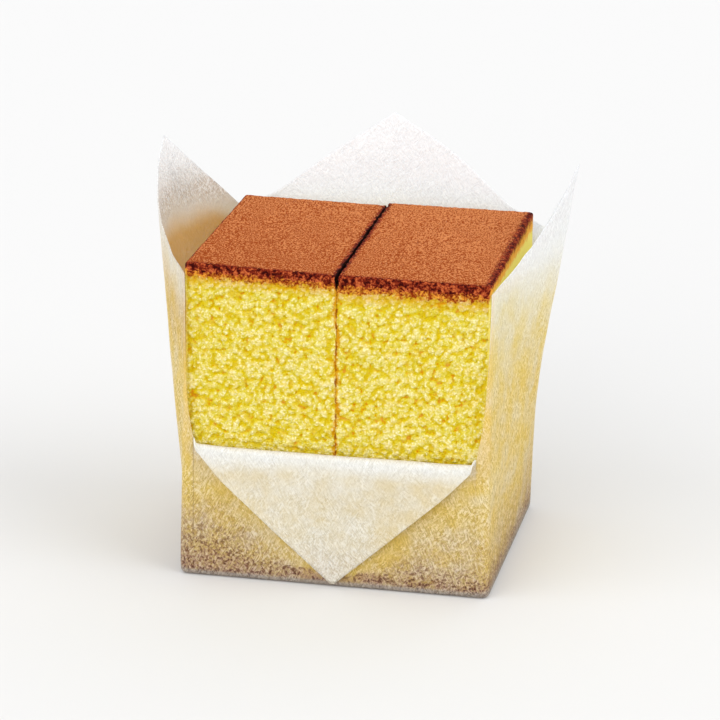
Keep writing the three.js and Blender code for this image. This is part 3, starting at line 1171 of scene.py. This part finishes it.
    def folded(self) -> np.ndarray:
        """Ribs of the front: up the wall, over a round fold and down the hanging flap.

        Towards the ends of the fold the turn unrolls from a half circle to nothing at the same length
        of paper, and the flap gets shorter from the sheet's corner in the middle.

        Returns:
            Points of the middle of the sheet, by rib and row.
        """
        turn_at = np.linspace(0, np.pi, self.flap_ribs + 1, endpoint=False)[1:]
        x = -self.fold_end * np.cos(turn_at)[:, None]
        from_end = self.fold_end - np.abs(x)
        turn = np.pi * ease(from_end, 0.0, self.unroll)
        radius = self.end_radius + (self.fold_radius - self.end_radius) * ease(from_end, 0.0, self.end_reach)
        flap = np.maximum(self.flap_length * (1 - np.abs(x) / self.flap_half_width), self.least_flap)
        angle = np.linspace(0, np.pi / 2, self.bend_rows + 1)[:-1] + 0 * x
        bend_out = -self.bend_radius * (1 - np.sin(angle))
        bend_up = self.bend_radius * (1 - np.cos(angle))
        shoulder = self.fold_height - radius
        wall_share = np.linspace(0, 1, self.wall_rows + 1)[:-1]
        wall_up = self.bend_radius + (shoulder - self.bend_radius) * wall_share
        arc = math.pi * radius * np.linspace(0, 1, self.fold_rows + 1)
        curl = np.maximum(turn, 1e-4) / (math.pi * radius)
        fold_out, fold_up = (1 - np.cos(curl * arc)) / curl, shoulder + np.sin(curl * arc) / curl
        hang = flap * np.linspace(0, 1, self.flap_rows + 1)[1:]
        share = hang / self.flap_length
        bulge = self.flap_bulge * np.sin(np.pi * share) - self.flap_lean * share
        flap_out = fold_out[:, -1:] + hang * np.sin(turn) - bulge * np.cos(turn)
        flap_up = fold_up[:, -1:] + hang * np.cos(turn)
        out = np.concatenate([bend_out, 0 * wall_up, fold_out, flap_out], axis=1)
        up = np.concatenate([bend_up, wall_up, fold_up, flap_up], axis=1)
        along = np.broadcast_to(x, out.shape)
        return np.stack([along, -self.half_y - out, up + self.thickness / 2], axis=-1)

    def wrinkle(self, points: np.ndarray) -> np.ndarray:
        """How far the sheet stands off its plain form along its normal.

        Two waves of noise, the longer one drawn out upwards, which grow towards the free edge.

        Args:
            points: Points of the middle of the sheet.

        Returns:
            A distance in millimetres for each point.
        """
        free = ease(points[..., 2], 30.0, 78.0)
        long_wave = smooth_noise(points, self.long_wave, Seed.LONG_WAVE)
        short_wave = smooth_noise(points, self.short_wave, Seed.SHORT_WAVE)
        return (0.1 + 0.5 * free) * long_wave + (0.05 + 0.1 * free) * short_wave

    def middle(self) -> np.ndarray:
        """Lays the flap's ribs, the standing ribs and the floor together.

        Returns:
            Points of the middle of the sheet, by rib round the cake and by row from the floor's middle
            to the free edge, without the floor's middle itself.
        """
        ribs = np.concatenate([self.folded(), *[self.standing(span) for span in self.spans()]])
        share = np.linspace(0, 1, self.floor_rows + 1)[1:-1]
        floor = ribs[:, :1] * share[:, None] ** np.array([1, 1, 0])
        return np.concatenate([floor, ribs], axis=1)

    def normals(self, points: np.ndarray) -> np.ndarray:
        """Directions out of the sheet's outer face, from the differences round and up the grid.

        Args:
            points: Points of the middle of the sheet, by rib and row.

        Returns:
            A vector of length 1 for each point.
        """
        around = np.roll(points, -1, axis=0) - np.roll(points, 1, axis=0)
        upwards = np.gradient(points, axis=1)
        out = np.cross(around, upwards)
        return out / np.maximum(np.linalg.norm(out, axis=-1, keepdims=True), TINY)

    def build(self) -> bpy.types.Object:
        """Builds the sheet's closed mesh.

        An outer and an inner skin stand half a thickness to each side of the middle, each closed by a
        fan at the floor's middle, and a narrow strip joins them along the free edge.

        Returns:
            The sheet.
        """
        middle = self.middle()
        above = (np.arange(middle.shape[1]) >= self.floor_rows + self.bend_rows)[:, None]
        middle = middle + self.normals(middle) * self.wrinkle(middle)[..., None] * above
        offset = self.normals(middle) * self.thickness / 2
        ribs, rows = middle.shape[:2]
        poles = np.array([[0, 0, 0], [0, 0, self.thickness]])
        points = np.concatenate([(middle + offset).reshape(-1, 3), (middle - offset).reshape(-1, 3), poles])
        outer = np.arange(ribs * rows).reshape(ribs, rows)
        outer = np.concatenate([outer, outer[:1]])
        inner = outer + ribs * rows
        pole = 2 * ribs * rows
        edge = grid_quads(np.stack([outer[:, -1], inner[:, -1]], axis=-1))
        quads = [grid_quads(outer), grid_quads(inner)[:, ::-1], edge]
        centre = np.full(ribs, pole)
        fans = [
            np.stack([centre, outer[1:, 0], outer[:-1, 0]], axis=-1),
            np.stack([centre + 1, inner[:-1, 0], inner[1:, 0]], axis=-1),
        ]
        piece = mesh_object("paper_sheet", points, quads + fans)
        flat = self.flat_place(middle).reshape(-1, 3)
        flat = np.concatenate([flat, flat, 0 * poles])
        places = [self.corner_places(flat, block).reshape(-1, 3) for block in quads + fans]
        store_places(piece, "on_sheet", np.concatenate(places) * MM)
        outside, inside = (Skin(self, middle, inner).marks() for inner in (0.0, 1.0))
        for name, mark in outside.items():
            store(piece, name, np.concatenate([mark.ravel(), inside[name].ravel(), [1.0, 1.0]]))
        return piece

    def flat_place(self, middle: np.ndarray) -> np.ndarray:
        """Lays the sheet flat.

        Args:
            middle: Points of the middle of the sheet, by rib and row.

        Returns:
            For each point its distance round the foot of the sheet, 0, and its distance up the rib.
        """
        steps = np.linalg.norm(np.diff(middle, axis=1), axis=-1)
        up = np.pad(np.cumsum(steps, axis=1), ((0, 0), (1, 0)))
        foot = middle[:, self.floor_rows + self.bend_rows]
        steps = np.linalg.norm(np.diff(foot, axis=0), axis=-1)
        round_foot = np.pad(np.cumsum(steps), (1, 0))[:, None] + 0 * up
        return np.stack([round_foot, 0 * up, up], axis=-1)

    def corner_places(self, flat: np.ndarray, faces: np.ndarray) -> np.ndarray:
        """Place on the flat sheet at each corner of faces.

        Where a face closes the sheet's round, its corners past the seam are moved on by the whole round.

        Args:
            flat: Place of each vertex on the flat sheet.
            faces: Vertex numbers, one face to a row.

        Returns:
            One place for each corner of each face.
        """
        places = flat[faces]
        way_round = flat[:, 0].max()
        past_seam = places[..., 0].max(axis=1, keepdims=True) - places[..., 0] > way_round / 2
        places[..., 0] += past_seam * way_round
        return places

    def dress(self, piece: bpy.types.Object, material: bpy.types.Material) -> None:
        """Gives the sheet its material and its place in the frame.

        Args:
            piece: The sheet's mesh object.
            material: The paper.
        """
        piece.data.materials.append(material)
        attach(piece, "root")
        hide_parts("wrapping_paper")


@dataclass(frozen=True)
class Skin:
    """One skin of the sheet, with the marks that the cake leaves on it and painted shade, reflection and
    light.

    middle are the points of the middle of the sheet, by rib and row, and inside is 1 for the skin
    towards the cake and 0 for the outer one. Each mark is a number for each point, mostly from 0 to 1.
    A Rise is where along x, y or the height a mark starts to change and where it has changed.
    """

    sheet: WrappingPaper
    middle: np.ndarray
    inside: float
    side_wall: Rise = (27.0, 31.0)
    corner_height: Rise = (40.0, 50.0)
    beside: Rise = (1.5, 9.0)
    soak_fade: Rise = (46.0, 66.0)
    soak_front: Rise = (-22.0, -4.0)
    soak_pitch: float = 6.0
    flap_soak: float = 0.3
    cream_fade: Rise = (50.0, 68.0)
    cream_starts: Rise = (0.8, 5.0)
    cream_pales: Rise = (11.0, 25.0)
    paler_left: Rise = (-2.0, 8.0)
    creamier_right: Rise = (6.0, 20.0)
    wall_cream: float = 0.45
    flap_cream: float = 0.78
    painted_shade_fade: Rise = (65.0, 74.0)
    painted_shade_deepens: Rise = (57.0, 65.0)
    most_painted_shade: float = 0.76
    band_pitch: float = 5.0
    corner_reflection_fade: Rise = (58.5, 64.5)
    rim_share: Rise = (0.82, 0.95)
    most_corner_reflection: float = 0.96
    patch_fade: Rise = (22.0, 44.0)
    patch_pitch: float = 8.0
    patch_honey: float = 0.08
    beside_flap_painted_light: float = 0.17
    dark_stain_fade: Rise = (0.5, 8.0)
    stain_fade: Rise = (6.0, 26.0)
    beside_flap_lightening: Rise = (2.0, 3.4)
    left_painted_shade: Rise = (10.0, 26.0)
    stain_pitch: float = 3.0
    tip_fade: Rise = (3.0, 14.0)
    tip_stain: float = 0.26
    foot_shade_fade: Rise = (0.9, 1.6)
    nap_fade: Rise = (30.0, 60.0)
    nap_band: Rise = (62.0, 68.0)
    nap_band_ends: Rise = (71.0, 77.0)
    airy_height: Rise = (50.0, 62.0)
    airy_back: Rise = (13.0, 22.0)

    @property
    def x(self) -> np.ndarray:
        """Place of each point along x."""
        return self.middle[..., 0]

    @property
    def y(self) -> np.ndarray:
        """Place of each point along y."""
        return self.middle[..., 1]

    @property
    def z(self) -> np.ndarray:
        """Height of each point."""
        return self.middle[..., 2]

    @property
    def right(self) -> np.ndarray:
        """1 on the right wall, 0 elsewhere."""
        return ease(self.x, *self.side_wall)

    @property
    def left(self) -> np.ndarray:
        """1 on the left wall, 0 elsewhere."""
        return ease(-self.x, *self.side_wall)

    @property
    def left_corner(self) -> np.ndarray:
        """1 on the inner skin of the left corner, 0 elsewhere."""
        return self.inside * self.left * ease(self.z, *self.corner_height)

    @property
    def towards_tip(self) -> np.ndarray:
        """0 at the height of the fold to 1 at the height of the flap's tip."""
        return ease(self.sheet.fold_height - self.z, 0.0, self.sheet.flap_length)

    @property
    def beside_flap(self) -> np.ndarray:
        """Nearness to the flap's slanting edges on the front wall.

        Returns:
            1 right beside an edge, 0 some way off and elsewhere.
        """
        share = (self.sheet.fold_height - self.z) / self.sheet.flap_length
        beyond = np.abs(self.x) - self.sheet.flap_half_width * (1 - share)
        front = ease(-self.y, self.sheet.half_y - 2.0, self.sheet.half_y - 0.5)
        return front * (1 - ease(beyond, *self.beside))

    def hanging(self, before: float, after: float = 12.0) -> np.ndarray:
        """Tells the flap from the standing sheet.

        Args:
            before: How many rows before the fold it starts.
            after: How many rows after the fold it is complete.

        Returns:
            1 on the flap and 0 on the standing sheet.
        """
        sheet = self.sheet
        row = np.arange(self.middle.shape[1])
        start = sheet.floor_rows + sheet.bend_rows + sheet.wall_rows
        front = np.zeros((len(self.middle), 1))
        front[: sheet.flap_ribs] = 1.0
        return front * ease(row, start - before, start + after)

    def joined(self, wall: np.ndarray, flap: np.ndarray, hanging: np.ndarray) -> np.ndarray:
        """wall where hanging is 0 and flap where it is 1."""
        return wall * (1 - hanging) + flap * hanging

    def marks(self) -> dict[str, np.ndarray]:
        """Every mark by its name, which is the name of its method."""
        ways = [self.soak, self.cream, self.painted_shade, self.honey_and_painted_light, self.stain, self.foot, self.nap, self.airy]
        return {way.__name__: way() for way in ways}

    def soak(self) -> np.ndarray:
        """How much of the cake's moisture the skin holds.

        Returns:
            1 where the sheet lies on the cake, fading to 0 above the cake's top, and little on the
            flap, which hangs clear of it.
        """
        height = self.z + 2.0 * smooth_noise(self.middle, self.soak_pitch, Seed.SOAK) + 3.0 * self.inside
        side = self.right * self.inside - self.left * (1 - self.inside)
        height = height + np.where(side > 0, 9.0, 2.0) * side
        outer_right = self.right * (1 - self.inside)
        height = height + 5.0 * outer_right * ease(self.y, *self.soak_front) - 2.5 * outer_right
        touching = 1 - ease(height, *self.soak_fade)
        clear = self.flap_soak * (0.3 + 0.45 * self.towards_tip)
        return self.joined(touching, clear, self.hanging(12.0, 4.0))

    def cream(self) -> np.ndarray:
        """How creamy the skin is.

        Returns:
            Most on the flap below its fold, less towards its tip, and faint on the walls.
        """
        below_fold = self.sheet.fold_height - self.z
        paler = (0.8 - 0.3 * ease(self.x, *self.paler_left)) * ease(below_fold, *self.cream_pales)
        flap = self.flap_cream * ease(below_fold, *self.cream_starts) * (1 - paler)
        flap = flap * (1 + 0.4 * ease(self.x, *self.creamier_right))
        height = self.z + 6.0 * self.right - 11.0 * self.left * (1 - self.inside)
        wall = (self.wall_cream - 0.1 * self.inside) * (1 - ease(height, *self.cream_fade))
        return self.joined(wall, flap, self.hanging(6.0))

    def painted_shade(self) -> np.ndarray:
        """How much painted beige shade the skin takes.

        Returns:
            A band of painted shade on the inner skin of the left corner, deepest below its top edge.
        """
        height = self.z + 1.5 * smooth_noise(self.middle, self.band_pitch, Seed.BAND)
        deeper = 0.5 + 0.5 * ease(height, *self.painted_shade_deepens)
        faded = (1 - ease(height, *self.painted_shade_fade)) * deeper
        return self.most_painted_shade * self.left_corner * faded

    def honey_and_painted_light(self) -> np.ndarray:
        """How far the skin is golden brown.

        Returns:
            Most where the left corner leaves the cake's top, as painted reflection of the cake and painted
            shade; faint in patches on the walls; painted light beside the flap; and 0 on the flap.
        """
        height = self.z + 1.0 * smooth_noise(self.middle, self.band_pitch, Seed.BAND)
        rows = self.middle.shape[1]
        to_rim = ease(np.arange(rows) / (rows - 1), *self.rim_share)
        # The corner's gold is painted reflection of the cake and painted shade.
        corner = self.most_corner_reflection * self.left_corner * (1 - ease(height, *self.corner_reflection_fade)) * (1 - to_rim)
        cloud = 0.5 + 0.5 * smooth_noise(self.middle, self.patch_pitch, Seed.PATCHES)
        patches = self.patch_honey * cloud * (1 - ease(height, *self.patch_fade))
        # Beside the flap the gold is painted light that offsets the flap's cast shadow.
        patches = patches + self.beside_flap_painted_light * self.beside_flap
        return np.clip(corner + patches, 0.0, 1.0) * (1 - self.hanging(1.0))

    def stain(self) -> np.ndarray:
        """How far the bottom crust has browned the skin, with painted light and shade laid over it.

        Returns:
            Most along the foot and, as painted shade, towards the left, fading upwards, and less beside the
            flap, as painted light.
        """
        height = self.z + 1.6 * smooth_noise(self.middle, self.stain_pitch, Seed.STAIN) + self.inside
        darker = 0.55 + 0.45 * (1 - ease(height, *self.dark_stain_fade))
        foot = darker * (1 - ease(height, *self.stain_fade))
        # Beside the flap the stain clears, which is painted light.
        foot = foot * (1 - 0.95 * self.beside_flap * ease(height, *self.beside_flap_lightening))
        # More towards the left, as painted shade.
        foot = foot * (1 + 0.35 * ease(-self.x, *self.left_painted_shade))
        tip = self.tip_stain * (1 - ease(height, *self.tip_fade))
        return np.clip(self.joined(foot, tip, self.hanging(1.0)), 0.0, 1.0)

    def foot(self) -> np.ndarray:
        """1 on the grey band of painted shade along the floor, 0 above it."""
        return (1 - self.inside) * (1 - ease(self.z, *self.foot_shade_fade)) * (1 - self.hanging(1.0))

    def nap(self) -> np.ndarray:
        """How much the hairs stand out.

        Returns:
            Most on the walls and the tip of the flap, least on the fold.
        """
        flap = 0.58 + 0.55 * self.towards_tip
        wall = (1 - 0.45 * ease(self.z, *self.nap_fade)) * (1 - 0.45 * self.beside_flap)
        band = ease(self.z, *self.nap_band) * (1 - 0.7 * ease(self.z, *self.nap_band_ends))
        wall = self.joined(wall, 0.12 + 1.7 * band, self.left_corner)
        return self.joined(wall, flap, self.hanging(6.0))

    def airy(self) -> np.ndarray:
        """How much more light than elsewhere the skin lets through.

        Returns:
            Most in the right corner above the cake, and more than 1 at its back.
        """
        behind = ease(self.y, *self.airy_back)
        right = ease(self.x + 3.0 * behind, *self.side_wall)
        return right * ease(self.z, *self.airy_height) * (1 + 2.4 * behind)


# ---------------------------------------------------------------- the studio


def direction(azimuth: float, elevation: float) -> Vector:
    """The way from the object to a place at that azimuth and elevation in degrees, 0 in front of it."""
    turn, rise = math.radians(azimuth), math.radians(elevation)
    return Vector((math.sin(turn) * math.cos(rise), -math.cos(turn) * math.cos(rise), math.sin(rise)))


@dataclass(frozen=True)
class Studio:
    """Camera, lights and floor."""

    azimuth: float = 11.209
    elevation: float = 18.32
    roll: float = 0.696
    distance: float = 742.84
    aim: tuple[float, float, float] = (-0.397, 0.0, 38.418)
    lens: float = 184.4
    suns: tuple[tuple[str, float, float, float, float], ...] = (
        ("key", -50.0, 35.0, 50.0, 0.75),
        ("front", -5.0, 25.0, 40.0, 0.9),
        ("right", 75.0, 36.0, 50.0, 1.08),
        ("back", 170.0, 45.0, 50.0, 0.3),
    )
    sky_strength: float = 0.775
    floor_half: float = 4000.0
    floor_drop: float = 0.1

    def camera(self) -> None:
        """Makes the scene's camera, turned to the object and rolled by its roll."""
        back, roll = direction(self.azimuth, self.elevation), math.radians(self.roll)
        level = (-back).cross(Vector((0, 0, 1))).normalized()
        upright = level.cross(-back)
        right = level * math.cos(roll) + upright * math.sin(roll)
        up = upright * math.cos(roll) - level * math.sin(roll)
        lens = bpy.data.cameras.new("camera")
        lens.lens = self.lens
        lens.sensor_width = 36.0
        camera = bpy.data.objects.new("camera", lens)
        bpy.context.scene.collection.objects.link(camera)
        place = (Vector(self.aim) + back * self.distance) * MM
        camera.matrix_world = Matrix.Translation(place) @ Matrix((right, up, back)).transposed().to_4x4()
        bpy.context.scene.camera = camera

    def lights(self) -> None:
        """Makes the soft lights and an even sky.

        Each row of suns holds a light's name, azimuth, elevation, width across and strength, with its
        angles in degrees.
        """
        for name, azimuth, elevation, width, strength in self.suns:
            sun = bpy.data.lights.new(name, "SUN")
            sun.energy = strength
            sun.angle = math.radians(width)
            light = bpy.data.objects.new(name, sun)
            light.rotation_mode = "QUATERNION"
            light.rotation_quaternion = direction(azimuth, elevation).to_track_quat("Z", "Y")
            bpy.context.scene.collection.objects.link(light)
        world = bpy.data.worlds.new("sky")
        world.use_nodes = True
        world.node_tree.nodes["Background"].inputs["Color"].default_value = (1.0, 1.0, 1.0, 1.0)
        world.node_tree.nodes["Background"].inputs["Strength"].default_value = self.sky_strength
        bpy.context.scene.world = world

    def floor(self) -> None:
        """Lays the floor just under the sheet."""
        reach = ruled((-self.floor_half, self.floor_half, 4))
        grid_x, grid_y = np.meshgrid(reach, reach, indexing="ij")
        points = np.stack([grid_x, grid_y, np.full_like(grid_x, -self.floor_drop)], axis=-1).reshape(-1, 3)
        piece = mesh_object("floor", points, [grid_quads(np.arange(len(points)).reshape(grid_x.shape))])
        piece.data.materials.append(FloorFinish().build())


def main() -> None:
    logging.basicConfig(level=logging.INFO, format="%(name)s: %(message)s")
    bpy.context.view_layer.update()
    scene = bpy.context.scene
    scene.view_settings.view_transform = "Standard"
    studio = Studio()
    studio.camera()
    studio.lights()
    studio.floor()

    sponge = SpongeFinish().build()
    left = {"front_outer": 0.5, "front_inner": -0.15, "back_outer": 0.0, "back_inner": -0.3}
    right = {"front_outer": -0.2, "front_inner": -0.1, "back_outer": 0.3, "back_inner": 0.25}
    slices = [
        Slice(Side.LEFT, **left, outer_inset=0.8),
        Slice(Side.RIGHT, **right, rim_drop=1.2, back_drop=1.2, outer_inset=-0.5),
    ]
    for part in slices:
        piece = part.build()
        part.dress(piece, sponge)
        LOG.info("%s: %d faces", piece.name, len(piece.data.polygons))
    paper = WrappingPaper()
    sheet = paper.build()
    paper.dress(sheet, PaperFinish().build())
    LOG.info("%s: %d faces", sheet.name, len(sheet.data.polygons))


if __name__ == "__main__":
    main()
